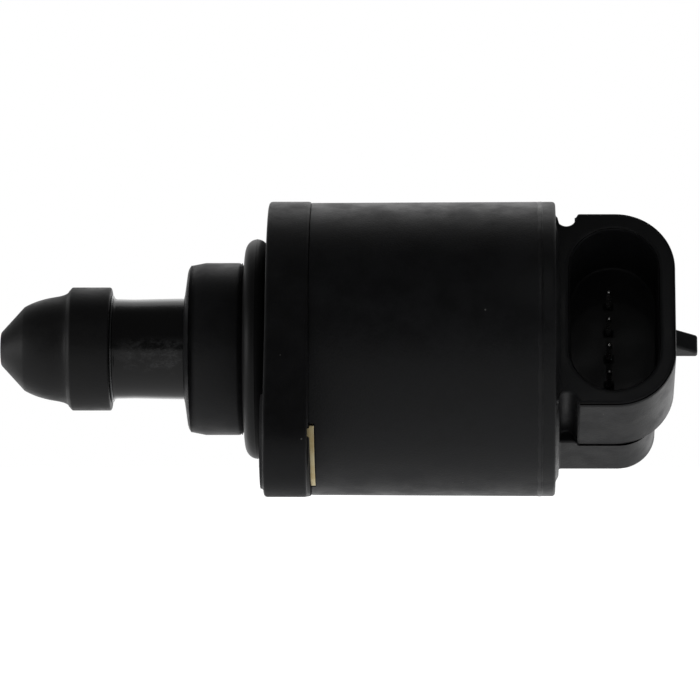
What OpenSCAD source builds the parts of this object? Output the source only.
/* [Seating flange] */
// How far the screw pads stand proud of the hub face; their front is the seating plane
pad_h = 0.4; // [0.2:0.1:0.8]
// Thickness of the flange hub behind its front face
flange_t = 5.2; // [4.6:0.1:7]
// How far the hub stands proud of the motor can, on the radius
hub_step = 0.15; // [0.1:0.05:0.4]
// Distance from the valve axis to each screw hole
hole_reach = 22; // [21:0.5:25]
// Radius of the rounded end of each ear
ear_r = 6.6; // [6.4:0.1:7.5]
// Radius of each screw hole
hole_r = 2.75; // [2.25:0.25:3.25]
// Radius of the raised pad around each screw hole
pad_r = 5.6; // [4.5:0.1:5.7]
// Angle of the near ear below the horizontal
ear_lean = 30; // [0:1:60]

/* [Nose and seal] */
// Radius of the nose that enters the throttle body
nose_r = 10.5; // [10:0.1:11.5]
// Distance from the seating plane forward to the end of the nose
nose_reach = 9.9; // [9:0.1:11]
// Length of the slight lead-in cone on the nose
lead_in_len = 1.8; // [1:0.1:2.2]
// Drop of the lead-in cone on the radius
lead_in_drop = 0.35; // [0.2:0.05:0.6]
// Size of the steep chamfer on the nose's front edge, along the axis
nose_chamfer = 0.25; // [0.15:0.05:0.5]
// Thickness of the seal ring
seal_d = 3.26; // [2.8:0.02:3.4]
// Depth of the seal's groove below the nose
groove_depth = 0.4; // [0.2:0.05:0.8]
// Clearance that the seal is drawn with in its groove
seal_gap = 0.03; // [0.02:0.01:0.05]

/* [Pintle and plunger] */
// Distance from the seating plane forward to the tip of the extended pintle
tip_reach = 32.5; // [32:0.1:34]
// Travel of the pintle from fully out to fully in
travel = 8; // [6:0.5:8]
// Radius of the pintle's flat tip
tip_r = 1.95; // [1.5:0.05:2.5]
// Length of the pintle's conical tip
cone_len = 3.2; // [2.5:0.1:4]
// Radius where the conical tip ends
cone_r = 5.2; // [4.6:0.1:5.6]
// Length of the curved body behind the conical tip
ogive_len = 5.1; // [4.5:0.1:6]
// Radius of the curved body at its straight waist
waist_r = 6.25; // [6:0.05:6.5]
// Radius where the curved body flares out to the collar
flare_r = 6.8; // [6.6:0.05:7]
// Radius of the pintle's collar
collar_r = 7.46; // [7.2:0.02:8]
// Length of the pintle's collar
collar_len = 4.95; // [4.4:0.05:5.5]
// Chamfer on the collar's front edge
collar_chamfer = 0.45; // [0.2:0.05:0.7]
// Gap between the collar and the retaining ring
ring_slot = 0.15; // [0.1:0.05:0.3]
// Thickness of the bright retaining ring
ring_t = 0.5; // [0.4:0.05:0.7]
// Outer radius of the bright retaining ring
ring_r = 6.8; // [6.5:0.1:7.2]
// Radius of the plunger tube where it slides in the nose
tube_r = 6.15; // [6:0.05:6.4]
// Radius of the plunger tube right behind the ring
tube_front_r = 5.91; // [5.8:0.01:6]
// Radius of the plunger tube at its slight waist
tube_waist_r = 5.83; // [5.7:0.01:5.9]
// Radius of the hollow inside the plunger tube
tube_bore_r = 4.4; // [4:0.1:4.6]
// Running clearance of the plunger tube in the nose
slide_gap = 0.08; // [0.05:0.01:0.1]
// How far each guide lug stands out of the plunger tube
lug_h = 1.05; // [0.8:0.05:1.2]
// Width of each guide lug
lug_w = 2.2; // [1.8:0.1:2.6]
// Length of each guide lug
lug_len = 2.4; // [2:0.1:2.8]

/* [Lead screw and rotor] */
// Radius of the lead screw over its thread
screw_r = 2.5; // [2.3:0.1:2.7]
// Running clearance of the lead screw in its nut
thread_gap = 0.06; // [0.03:0.01:0.1]
// Wall of the brass nut around the thread
nut_wall = 1.35; // [1:0.05:1.5]
// Length of the brass nut
nut_len = 9; // [7:0.5:11]
// Wall of the rotor hub around the nut
hub_wall = 1.25; // [1:0.05:1.5]
// Wall of the ring magnet
magnet_wall = 3; // [2.5:0.1:3.5]
// Length of the ring magnet
magnet_len = 17; // [15:0.5:18]
// Radius of the rotor's journals
journal_r = 4.2; // [4:0.05:4.3]
// Running clearance of the journals in their bushes
journal_gap = 0.05; // [0.03:0.01:0.1]
// Air gap between the magnet and the claw poles
air_gap = 0.5; // [0.3:0.05:0.6]

/* [Stator] */
// Number of claw teeth on each pole piece
pole_teeth = 6; // [4:1:8]
// Thickness of the claw teeth
tooth_t = 0.9; // [0.7:0.1:1.1]
// Thickness of the pole pieces' faces
pole_t = 1.2; // [1:0.1:1.5]
// Room from each end of the magnet to the end of the stator
magnet_room = 2.3; // [2.3:0.1:3]
// Depth of each winding on the radius
winding_depth = 3.9; // [3.2:0.05:4.2]
// Wall of the bobbins
bobbin_wall = 0.75; // [0.6:0.05:0.9]
// Wall of the stator cups
cup_wall = 1.2; // [1:0.1:1.5]
// Small fitting clearance between pieces that are pressed or moulded together
fit = 0.05; // [0.03:0.01:0.08]
// Thickness of the end plates
plate_t = 0.9; // [0.8:0.1:1.2]
// How deep the front plate is let into the flange
plate_sink = 0.3; // [0.2:0.05:0.6]
// Angle from each ear to the front plate's lug beside it
tab_offset = 19.5; // [18:0.5:30]
// Half the angle that each lug of the front plate spans
tab_half_angle = 18.5; // [10:0.5:22]
// Outer radius of the bushes' flanges
bush_flange_r = 6.6; // [6.2:0.1:7]
// Wall of the bushes
bush_wall = 0.9; // [0.7:0.1:1.1]

/* [Motor can] */
// Wall of the motor can
can_wall = 1.5; // [1.2:0.1:1.8]
// Clearance between the stator and the can
can_gap = 0.15; // [0.1:0.05:0.3]
// Growth of the can's radius from front to rear
can_draft = 0.12; // [0.05:0.01:0.2]
// Length of the can behind the rear end plate
rear_space = 4.6; // [4:0.1:6]
// Size of the groove where the can meets the rear cap
seam_chamfer = 0.15; // [0.1:0.05:0.25]

/* [Rear cap and connector] */
// Thickness of the rear cap's disc
cap_t = 1.9; // [1.6:0.1:2.5]
// Rounding of the disc's rear edge
cap_round = 0.4; // [0.2:0.1:0.6]
// Wall of the skirt that holds the stator in place
skirt_wall = 1.35; // [1.1:0.05:1.6]
// Angle by which the connector faces up from the horizontal
connector_lean = 25; // [0:5:45]
// Length of the neck between the disc and the shroud
neck_len = 2.6; // [2.4:0.1:3.4]
// Width of the shroud along the valve axis
shroud_w = 11.8; // [11.2:0.1:13]
// Half the length of the shroud
shroud_half = 12.8; // [12.4:0.1:13]
// Radius of the shroud's outer corners
shroud_corner = 7.2; // [6:0.1:8]
// Height of the connector's rim above the valve axis
rim_u = 11.6; // [10.5:0.1:12]
// Wall of the shroud on its free side
shroud_wall = 2.1; // [1.8:0.1:2.4]
// Wall of the shroud at its two ends
end_wall = 2.2; // [1.8:0.1:2.4]
// Half the width of the cavity along the valve axis
cavity_r = 5.3; // [5:0.1:5.5]
// Depth of the cavity below the rim
cavity_depth = 10.8; // [10:0.1:11]
// Chamfer around the mouth of the cavity
mouth_chamfer = 0.35; // [0.2:0.05:0.5]
// Chamfer around the outside of the rim
rim_chamfer = 0.3; // [0.2:0.05:0.5]
// Depth of the block behind the shroud
block_depth = 7.9; // [6.5:0.1:8.2]
// How far the block is set back from the shroud's free side
block_setback = 2.2; // [2:0.1:3]
// Radius of the block's outer corners
block_corner = 4.6; // [3.5:0.1:5]
// Radius of the round bottom of the notch at each end of the neck
notch_r = 1.15; // [1:0.05:1.25]
// How far the latch stands out of the shroud
latch_reach = 2.9; // [2.2:0.1:3.2]
// Width of the latch
latch_w = 2.4; // [2:0.1:3]
// Height of the latch at its root
latch_root_h = 3.1; // [2.6:0.1:3.6]
// Height of the latch at its tip
latch_tip_h = 1.2; // [0.8:0.1:1.6]

/* [Contacts] */
// Distance between neighbouring contacts
pin_pitch = 3.55; // [3.2:0.05:3.7]
// Width of each square contact
pin_w = 0.64; // [0.5:0.02:0.8]
// How far each contact stands up from the cavity's floor
pin_h = 4.3; // [3.5:0.1:5]
// Length of the taper at each contact's tip
pin_taper = 0.5; // [0.3:0.05:0.8]
// Distance from the cavity's middle back to the row of contacts
pin_back = 0.5; // [0:0.1:0.8]
// Depth of each contact's bend below the cavity's floor
bend_depth = 3; // [2.5:0.1:3.6]
// How far each contact reaches into the space behind the rear plate
tail_len = 2.6; // [2:0.1:3]

/* [Hidden] */
$fn = 96;
// How far a cutting shape runs past the surface that it cuts
over = 0.5;
contacts = 4;
ears = [0, 180];

// Stations along the axis, from the seating plane back
hub_x = pad_h;
seam_x = hub_x + flange_t;
plate_x = seam_x - plate_sink;
stator_x = plate_x + plate_t;
phase_len = magnet_len / 2 + magnet_room;
winding_len = phase_len - 2 * pole_t;
stator_mid = stator_x + phase_len;
stator_end = stator_mid + phase_len;
rear_plate_end = stator_end + plate_t;
can_end = rear_plate_end + rear_space;
cap_end = can_end + cap_t;
shroud_x = cap_end + neck_len;
shroud_end = shroud_x + shroud_w;
block_end = shroud_end - block_setback;
cavity_x = shroud_end - shroud_wall - cavity_r;
floor_u = rim_u - cavity_depth;

// Radii, from the axis out
nut_r = screw_r + nut_wall;
rotor_r = nut_r + fit + hub_wall;
magnet_r = rotor_r + fit + magnet_wall;
tooth_in = magnet_r + air_gap;
tooth_out = tooth_in + tooth_t;
bobbin_in = tooth_out + 2 * fit;
coil_in = bobbin_in + bobbin_wall + fit;
coil_out = coil_in + winding_depth;
bobbin_out = coil_out + bobbin_wall / 2;
cup_in = bobbin_out + 4 * fit;
stator_r = cup_in + cup_wall;
can_in = stator_r + can_gap;
can_r = can_in + can_wall;
can_rear_r = can_r + can_draft;
hub_r = can_r + hub_step;

// Plunger stations at rest, fully out
collar_end = -tip_reach + cone_len + ogive_len + collar_len;
ring_x = collar_end + ring_slot;
shoulder_x = ring_x + ring_t;
tube_end = plate_x - travel - pin_w;
lug_x = tube_end - lug_len;
guide_bore_r = tube_r + slide_gap;
lug_r = tube_r + lug_h;
spigot_r = ring_r * 0.75;
groove_r = nose_r - groove_depth;

// Points along a quarter or part circle, as [radius, x]
function arc(r, x, size, from, to, steps = 6) =
    [for (i = [0:steps]) let (a = from + (to - from) * i / steps) [r + size * cos(a), x + size * sin(a)]];

// Points along a curve that leaves p0 towards p1 and ends at p2
function bend(p0, p1, p2, steps = 6) =
    [for (i = [1:steps]) let (t = i / steps) (1 - t) * (1 - t) * p0 + 2 * t * (1 - t) * p1 + t * t * p2];

// Turns a profile of [radius, x] points about the valve axis
module turned(profile) {
    rotate([0, 90, 0]) rotate_extrude() polygon(profile);
}

// Round bar along the valve axis
module rod(r, x0, x1) {
    translate([x0, 0, 0]) rotate([0, 90, 0]) cylinder(r = r, h = x1 - x0);
}

// Tube along the valve axis
module sleeve(r_out, r_in, x0, x1) {
    turned([[r_in, x0], [r_out, x0], [r_out, x1], [r_in, x1]]);
}

// Draws in the plane across the axis and extrudes from x0 to x1
module across(x0, x1) {
    translate([x0, 0, 0]) rotate([90, 0, 90]) linear_extrude(x1 - x0) children();
}

// Slice of the space around the axis, centred on +Y and half_angle to each side
module wedge(half_angle, reach, x0, x1) {
    across(x0, x1) polygon([[0, 0], [reach, -reach * tan(half_angle)], [reach, reach * tan(half_angle)]]);
}

// Places its children at both screw ears
module at_ears() {
    for (side = ears) rotate([ear_lean + side, 0, 0]) translate([0, hole_reach, 0]) children();
}

// Places its children on the middle of both lugs of the front plate
module at_tabs() {
    for (side = ears) rotate([ear_lean + tab_offset + side, 0, 0]) children();
}

// Flange

// Outline of the hub and its two ears, with straight flanks that touch both rounds
module flange_outline() {
    along = (hub_r - ear_r) / hole_reach;
    across_share = sqrt(1 - along * along);
    circle(r = hub_r);
    for (side = ears) rotate(ear_lean + side) {
        translate([hole_reach, 0]) circle(r = ear_r);
        polygon([[0, 0], hub_r * [along, -across_share], [hole_reach, 0] + ear_r * [along, -across_share],
                 [hole_reach, 0] + ear_r * [along, across_share], hub_r * [along, across_share]]);
    }
}

// Nose and its seal groove, in front of the flange hub
module nose_body() {
    front = -nose_reach;
    steep_r = nose_r - lead_in_drop;
    cone_x = front + 3 * nose_chamfer;
    groove_x = hub_x - seal_d - 2 * seal_gap;
    turned([[0, front], [guide_bore_r + nose_chamfer, front], [steep_r - nose_chamfer, cone_x - nose_chamfer],
            [steep_r, cone_x],
            [nose_r, cone_x + lead_in_len], [nose_r, groove_x], [groove_r, groove_x],
            [groove_r, hub_x + over], [0, hub_x + over]]);
}

// Ring of hollows behind the hub that keeps the moulding's walls even
module core_pockets() {
    inner = groove_r + can_wall;
    outer = hub_r - 2 * can_wall;
    ribs = 6;
    difference() {
        sleeve(outer, inner, hub_x + can_wall, seam_x + over);
        for (i = [0:ribs - 1]) rotate([ear_lean + 360 * i / ribs, 0, 0])
            translate([hub_x, 0, -can_wall / 2]) cube([flange_t, hub_r, can_wall]);
    }
}

module mounting_flange() {
    lug_room = slide_gap * 2;
    color("#26272a") difference() {
        union() {
            across(hub_x, seam_x) flange_outline();
            at_ears() rod(pad_r, 0, hub_x + over);
            nose_body();
        }
        at_ears() rod(hole_r, -over, seam_x + over);
        rod(guide_bore_r, -nose_reach - over, seam_x + over);
        for (side = ears) rotate([side + ear_lean, 0, 0])
            intersection() {
                sleeve(lug_r + lug_room, guide_bore_r - over, lug_x - lug_room, seam_x + over);
                translate([-nose_reach, 0, -lug_w / 2 - lug_room])
                    cube([nose_reach + seam_x + over, nose_r, lug_w + 2 * lug_room]);
            }
        rod(stator_r + fit, plate_x, seam_x + over);
        core_pockets();
        at_tabs() wedge(tab_half_angle + 1, hub_r + over, plate_x, seam_x + over);
    }
}

// Seal ring in its groove against the hub
module seal_ring() {
    section_r = seal_d / 2;
    color("#101113") rotate([0, 90, 0]) rotate_extrude()
        translate([groove_r + seal_gap + section_r, hub_x - seal_gap - section_r]) circle(r = section_r, $fn = 48);
}

// Motor can

module motor_can() {
    window = [seam_x - over, plate_x + plate_t + fit];
    color("#2b2c30") difference() {
        turned([[can_in, seam_x], [can_r, seam_x], [can_rear_r, can_end - seam_chamfer],
                [can_rear_r - seam_chamfer, can_end], [can_in, can_end]]);
        at_tabs() wedge(tab_half_angle + 1, hub_r + over, window[0], window[1]);
    }
}

// Plate behind the flange; its two lugs show in the windows at the seam
module front_plate() {
    color("#8f8055") difference() {
        union() {
            rod(stator_r, plate_x, stator_x);
            intersection() {
                rod(can_r, plate_x, stator_x);
                at_tabs() wedge(tab_half_angle, hub_r + over, plate_x - over, stator_x + over);
            }
        }
        rod(journal_r + journal_gap + bush_wall + fit, plate_x - over, stator_x + over);
    }
}

module rear_plate() {
    color("#8f8055") sleeve(stator_r, journal_r + journal_gap + bush_wall + fit, stator_end, rear_plate_end);
}

// Flanged bush; its flange starts at x, and it reaches in front of that by front and behind the flange by tail
module flanged_bush(x, flange_len, front, tail) {
    bore = journal_r + journal_gap;
    outer = bore + bush_wall;
    color("#a9752f") turned([[bore, x - front], [outer, x - front], [outer, x], [bush_flange_r, x],
                             [bush_flange_r, x + flange_len], [outer, x + flange_len],
                             [outer, x + flange_len + tail], [bore, x + flange_len + tail]]);
}

module front_bush() {
    flanged_bush(stator_x, bush_wall, plate_t, pole_t);
}

module rear_bush() {
    flanged_bush(rear_plate_end, bush_wall, plate_t + bush_wall, over);
}

// Stator

tooth_len = winding_len - 0.7 * tooth_t;

// Spaces between the claw teeth that stand on a pole face at x; the teeth narrow towards their tips,
// and a small relief stays at their roots
module claw_gaps(x, dir) {
    pitch = 2 * PI * tooth_in / pole_teeth;
    root_gap = pitch * 0.55;
    tip_gap = pitch * 0.76;
    root = x + dir * fit;
    past = x + dir * (tooth_len + over);
    for (i = [0:pole_teeth - 1]) rotate([360 * (i + 0.5) / pole_teeth, 0, 0])
        translate([0, 0, tooth_in * 0.7]) linear_extrude(tooth_in * 0.3 + tooth_t + over)
            polygon([[root, -root_gap / 2], [past, -tip_gap / 2], [past, tip_gap / 2], [root, root_gap / 2]]);
}

// Outer cup of one phase, its closed face at x and its open end towards dir
module stator_cup(x, dir) {
    face = x + dir * pole_t;
    tip = face + dir * tooth_len;
    open_end = x + dir * phase_len;
    color("#6c6f72") difference() {
        turned([[tooth_in, x], [stator_r, x], [stator_r, open_end], [cup_in, open_end],
                [cup_in, face], [tooth_out, face], [tooth_out, tip], [tooth_in, tip]]);
        claw_gaps(face, dir);
    }
}

// Inner pole piece of one phase, back to back with the other at x
module inner_pole(x, dir) {
    face = x + dir * pole_t;
    tip = face + dir * tooth_len;
    color("#6c6f72") rotate([180 / pole_teeth, 0, 0]) difference() {
        turned([[tooth_in, x], [cup_in - fit, x], [cup_in - fit, face], [tooth_out, face],
                [tooth_out, tip], [tooth_in, tip]]);
        claw_gaps(face, dir);
    }
}

// Spool that holds one winding, between the pole faces from x on
module bobbin(x) {
    x0 = x + fit;
    x1 = x + winding_len - fit;
    sleeve_r = bobbin_in + bobbin_wall;
    color("#c9c4b4") turned([[bobbin_in, x0], [bobbin_out, x0], [bobbin_out, x0 + bobbin_wall],
                             [sleeve_r, x0 + bobbin_wall], [sleeve_r, x1 - bobbin_wall],
                             [bobbin_out, x1 - bobbin_wall], [bobbin_out, x1], [bobbin_in, x1]]);
}

module coil(x) {
    inset = bobbin_wall + 2 * fit;
    color("#8a4a22") sleeve(coil_out, coil_in, x + inset, x + winding_len - inset);
}

// The rear phase is turned by a quarter of a pole pitch against the front phase
phase_turn = 90 / pole_teeth;

module stator_cup_front() { stator_cup(stator_x, 1); }
module stator_cup_rear() { rotate([phase_turn, 0, 0]) stator_cup(stator_end, -1); }
module inner_pole_front() { inner_pole(stator_mid, -1); }
module inner_pole_rear() { rotate([phase_turn, 0, 0]) inner_pole(stator_mid, 1); }
module bobbin_front() { bobbin(stator_x + pole_t); }
module bobbin_rear() { bobbin(stator_mid + pole_t); }
module coil_front() { coil(stator_x + pole_t); }
module coil_rear() { coil(stator_mid + pole_t); }

// Rotor

// Moulded hub: front journal, body inside the magnet, rear shoulder and rear journal
module rotor_hub() {
    bore = screw_r + 5 * thread_gap;
    front = stator_mid - magnet_len / 2;
    rear = stator_mid + magnet_len / 2;
    shoulder = rear + bush_wall;
    nut_x = stator_mid - nut_len / 2 - bush_wall;
    color("#3c3f43") turned([[bore, plate_x + 4 * journal_gap], [journal_r, plate_x + 4 * journal_gap],
                             [journal_r, front], [rotor_r, front], [rotor_r, rear], [bush_flange_r, rear],
                             [bush_flange_r, shoulder], [journal_r, shoulder],
                             [journal_r, rear_plate_end + over], [bore, rear_plate_end + over],
                             [bore, nut_x + nut_len], [nut_r + fit, nut_x + nut_len],
                             [nut_r + fit, nut_x], [bore, nut_x]]);
}

module rotor_magnet() {
    color("#303236") sleeve(magnet_r, rotor_r + fit, stator_mid - magnet_len / 2, stator_mid + magnet_len / 2);
}

// Threaded brass nut moulded into the rotor hub
module lead_nut() {
    nut_x = stator_mid - nut_len / 2 - bush_wall;
    color("#b08d3c") sleeve(nut_r, screw_r + thread_gap, nut_x + fit, nut_x + nut_len - fit);
}

// Wavy washer that takes up the rotor's end play
module preload_spring() {
    steps = 60;
    waves = 3;
    strip_t = bush_wall / 5;
    shoulder = stator_mid + magnet_len / 2 + bush_wall;
    seat = rear_plate_end - plate_t - bush_wall;
    mid = (shoulder + seat) / 2;
    swing = (seat - shoulder) / 2 - strip_t / 2 - fit;
    inner = journal_r + journal_gap;
    outer = inner + bush_wall;
    function station(i, r, side) = let (a = 360 * i / steps)
        [mid + swing * cos(waves * a) + side * strip_t / 2, r * cos(a), r * sin(a)];
    points = [for (i = [0:steps - 1]) each [station(i, inner, -1), station(i, outer, -1),
                                            station(i, outer, 1), station(i, inner, 1)]];
    faces = [for (i = [0:steps - 1]) let (a = 4 * i, b = 4 * ((i + 1) % steps)) each
             [[a, b, b + 1], [a, b + 1, a + 1], [a + 1, b + 1, b + 2], [a + 1, b + 2, a + 2],
              [a + 2, b + 2, b + 3], [a + 2, b + 3, a + 3], [a + 3, b + 3, b], [a + 3, b, a]]];
    color("#9a9c9f") polyhedron(points, faces);
}

// Pintle and plunger

module pintle_head() {
    cone_x = -tip_reach + cone_len;
    waist_x = cone_x + ogive_len * 0.68;
    flare_x = cone_x + ogive_len;
    pocket = spigot_r + fit;
    tip_edge = tip_r * 0.1;
    color("#2a2b2d") difference() {
        turned(concat([[0, -tip_reach], [tip_r - tip_edge, -tip_reach], [tip_r, -tip_reach + tip_edge], [cone_r, cone_x]],
                      bend([cone_r, cone_x], [waist_r - tip_edge, cone_x + ogive_len * 0.36], [waist_r, waist_x]),
                      bend([waist_r, waist_x], [waist_r + tip_edge, flare_x - collar_chamfer], [flare_r, flare_x]),
                      [[collar_r - collar_chamfer, flare_x], [collar_r, flare_x + collar_chamfer],
                       [collar_r, collar_end], [0, collar_end]]));
        rod(pocket, collar_end - collar_len + 2 * collar_chamfer, collar_end + over);
        rod(screw_r + fit, cone_x, collar_end);
    }
}

module retaining_ring() {
    color("#c6c8ca") sleeve(ring_r, spigot_r + fit, ring_x, shoulder_x);
}

// Tube that carries the pintle; its front spigot sits in the pintle, its two lugs run in the nose
module plunger_tube() {
    spigot_x = collar_end - collar_len + 3 * collar_chamfer;
    straight_x = -nose_reach - over;
    waist_x = shoulder_x + (straight_x - shoulder_x) * 0.3;
    bore_x = shoulder_x + pole_t;
    color("#17181a") {
        turned([[screw_r + fit, spigot_x], [spigot_r, spigot_x], [spigot_r, shoulder_x], [tube_front_r, shoulder_x],
                [tube_waist_r, waist_x], [tube_r, straight_x], [tube_r, tube_end], [tube_bore_r, tube_end],
                [tube_bore_r, bore_x], [screw_r + fit, bore_x]]);
        for (side = ears) rotate([side + ear_lean, 0, 0]) intersection() {
            sleeve(lug_r, tube_bore_r, lug_x, tube_end);
            translate([lug_x, 0, -lug_w / 2]) cube([lug_len, lug_r, lug_w]);
        }
    }
}

module lead_screw() {
    head_x = -tip_reach + cone_len + collar_chamfer;
    tail_x = stator_mid + nut_len / 2 - bush_wall + thread_gap * 10;
    color("#b4b6b8") difference() {
        rod(screw_r, head_x, tail_x);
        turned([[screw_r - 5 * thread_gap, tail_x], [screw_r + over, tail_x], [screw_r + over, tail_x - 5 * thread_gap],
                [screw_r, tail_x - 5 * thread_gap]]);
    }
}

// Rear cap and connector

// Places its children in the connector's own frame: X along the valve, Y along its length, Z out of its mouth
module in_connector() {
    rotate([90 - connector_lean, 0, 0]) children();
}

// Block with two round corners on its far side and a chamfer round its top
module end_block(x0, x1, half, corner, z0, z1, edge) {
    straight = half - corner;
    for (side = [-1, 1]) translate([x1 - corner, side * straight, 0]) {
        translate([0, 0, z0]) cylinder(r = corner, h = z1 - z0 - edge);
        translate([0, 0, z1 - edge]) cylinder(r1 = corner, r2 = corner - edge, h = edge);
    }
    rotate([90, 0, 0]) linear_extrude(2 * straight, center = true)
        polygon([[x0, z0], [x1, z0], [x1, z1 - edge], [x1 - edge, z1], [x0, z1]]);
    across(x0, x1 - corner)
        polygon([[-half, z0], [half, z0], [half, z1 - edge], [half - edge, z1], [edge - half, z1], [-half, z1 - edge]]);
}

// Slot-shaped space with round ends, flared at its mouth
module slot_space(x, r, half, z0, z1, flare) {
    straight = half - r;
    for (side = [-1, 1]) translate([x, side * straight, 0]) {
        translate([0, 0, z0]) cylinder(r = r, h = z1 - z0 + over);
        translate([0, 0, z1 - flare]) cylinder(r1 = r, r2 = r + flare, h = flare);
    }
    rotate([90, 0, 0]) linear_extrude(2 * straight, center = true)
        polygon([[x - r, z0], [x + r, z0], [x + r, z1 - flare], [x + r + flare, z1], [x + r + flare, z1 + over],
                 [x - r - flare, z1 + over], [x - r - flare, z1], [x - r, z1 - flare]]);
}

// Neck between the disc and the shroud, with a round-bottomed notch at each end
module cap_neck() {
    mid = cap_end + neck_len / 2;
    notch_v = shroud_half - notch_r / 2;
    difference() {
        translate([cap_end - over, -notch_v, 0]) cube([neck_len + 2 * over, 2 * notch_v, rim_u]);
        for (side = [-1, 1]) translate([mid, side * notch_v, -over]) cylinder(r = notch_r, h = rim_u + 2 * over);
    }
}

// Wedge that catches the plug's clip
module latch() {
    foot = latch_tip_h / 4;
    rotate([90, 0, 0]) linear_extrude(latch_w, center = true)
        polygon([[shroud_end - over, foot], [shroud_end + latch_reach, foot],
                 [shroud_end + latch_reach, foot + latch_tip_h], [shroud_end, foot + latch_root_h],
                 [shroud_end - over, foot + latch_root_h]]);
}

// Row position of contact n, counted from 1
function contact_v(n) = (n - (contacts + 1) / 2) * pin_pitch;

pin_x = cavity_x - pin_back;
pin_top = floor_u + pin_h;
bend_u = floor_u - bend_depth;
tail_x = can_end - tail_len;

// Channel that one contact is moulded into
module contact_channel(n) {
    room = pin_w + 2 * fit;
    translate([pin_x - room / 2, contact_v(n) - room / 2, bend_u - room / 2])
        cube([room, room, bend_depth + room / 2 + over]);
    translate([tail_x - over, contact_v(n) - room / 2, bend_u - room / 2])
        cube([pin_x + room / 2 - tail_x + over, room, room]);
}

module rear_cap() {
    skirt_r = can_in - fit;
    boss_t = cap_t;
    face_r = can_rear_r - 6 * cap_round;
    color("#26272a") difference() {
        union() {
            turned(concat([[0, can_end], [can_rear_r - seam_chamfer, can_end], [can_rear_r, can_end + seam_chamfer]],
                          arc(can_rear_r - cap_round, cap_end - cap_round, cap_round, 0, 90, 4),
                          [[face_r + 2 * cap_round, cap_end], [face_r, cap_end + cap_round], [0, cap_end + cap_round]]));
            sleeve(skirt_r, skirt_r - skirt_wall, rear_plate_end, can_end + over);
            in_connector() {
                end_block(shroud_x, shroud_end, shroud_half, shroud_corner, 0, rim_u, rim_chamfer);
                cap_neck();
                mirror([0, 0, 1]) end_block(cap_end - over, block_end, shroud_half - rim_chamfer / 2, block_corner,
                                            -over, block_depth, rim_chamfer);
                latch();
                translate([can_end - boss_t, -contacts * pin_pitch / 2 - boss_t / 2, bend_u - boss_t])
                    cube([boss_t + over, contacts * pin_pitch + boss_t, 2 * boss_t]);
            }
        }
        in_connector() {
            slot_space(cavity_x, cavity_r, shroud_half - end_wall, floor_u, rim_u, mouth_chamfer);
            for (n = [1:contacts]) contact_channel(n);
        }
    }
}

// Bent square contact: a tapered blade in the cavity and a tail into the motor
module contact(n) {
    half = pin_w / 2;
    flat = half / 2;
    blade = [[pin_x - half, pin_top - pin_taper], [pin_x - flat, pin_top], [pin_x + flat, pin_top],
             [pin_x + half, pin_top - pin_taper], [pin_x + half, bend_u - half], [tail_x, bend_u - half],
             [tail_x, bend_u + half], [pin_x - half, bend_u + half]];
    color("#b9bcc0") in_connector() translate([0, contact_v(n), 0]) intersection() {
        rotate([90, 0, 0]) linear_extrude(pin_w, center = true) polygon(blade);
        across(tail_x - over, pin_x + pin_w) polygon([[-half, bend_u - pin_w], [half, bend_u - pin_w],
            [half, pin_top - pin_taper], [flat, pin_top], [-flat, pin_top], [-half, pin_top - pin_taper]]);
    }
}

module terminal_1() { contact(1); }
module terminal_2() { contact(2); }
module terminal_3() { contact(3); }
module terminal_4() { contact(4); }

mounting_flange();
seal_ring();
motor_can();
rear_cap();
front_plate();
front_bush();
stator_cup_front();
inner_pole_front();
bobbin_front();
coil_front();
inner_pole_rear();
bobbin_rear();
coil_rear();
stator_cup_rear();
rear_plate();
rear_bush();
preload_spring();
terminal_1();
terminal_2();
terminal_3();
terminal_4();
rotor_hub();
rotor_magnet();
lead_nut();
pintle_head();
retaining_ring();
plunger_tube();
lead_screw();
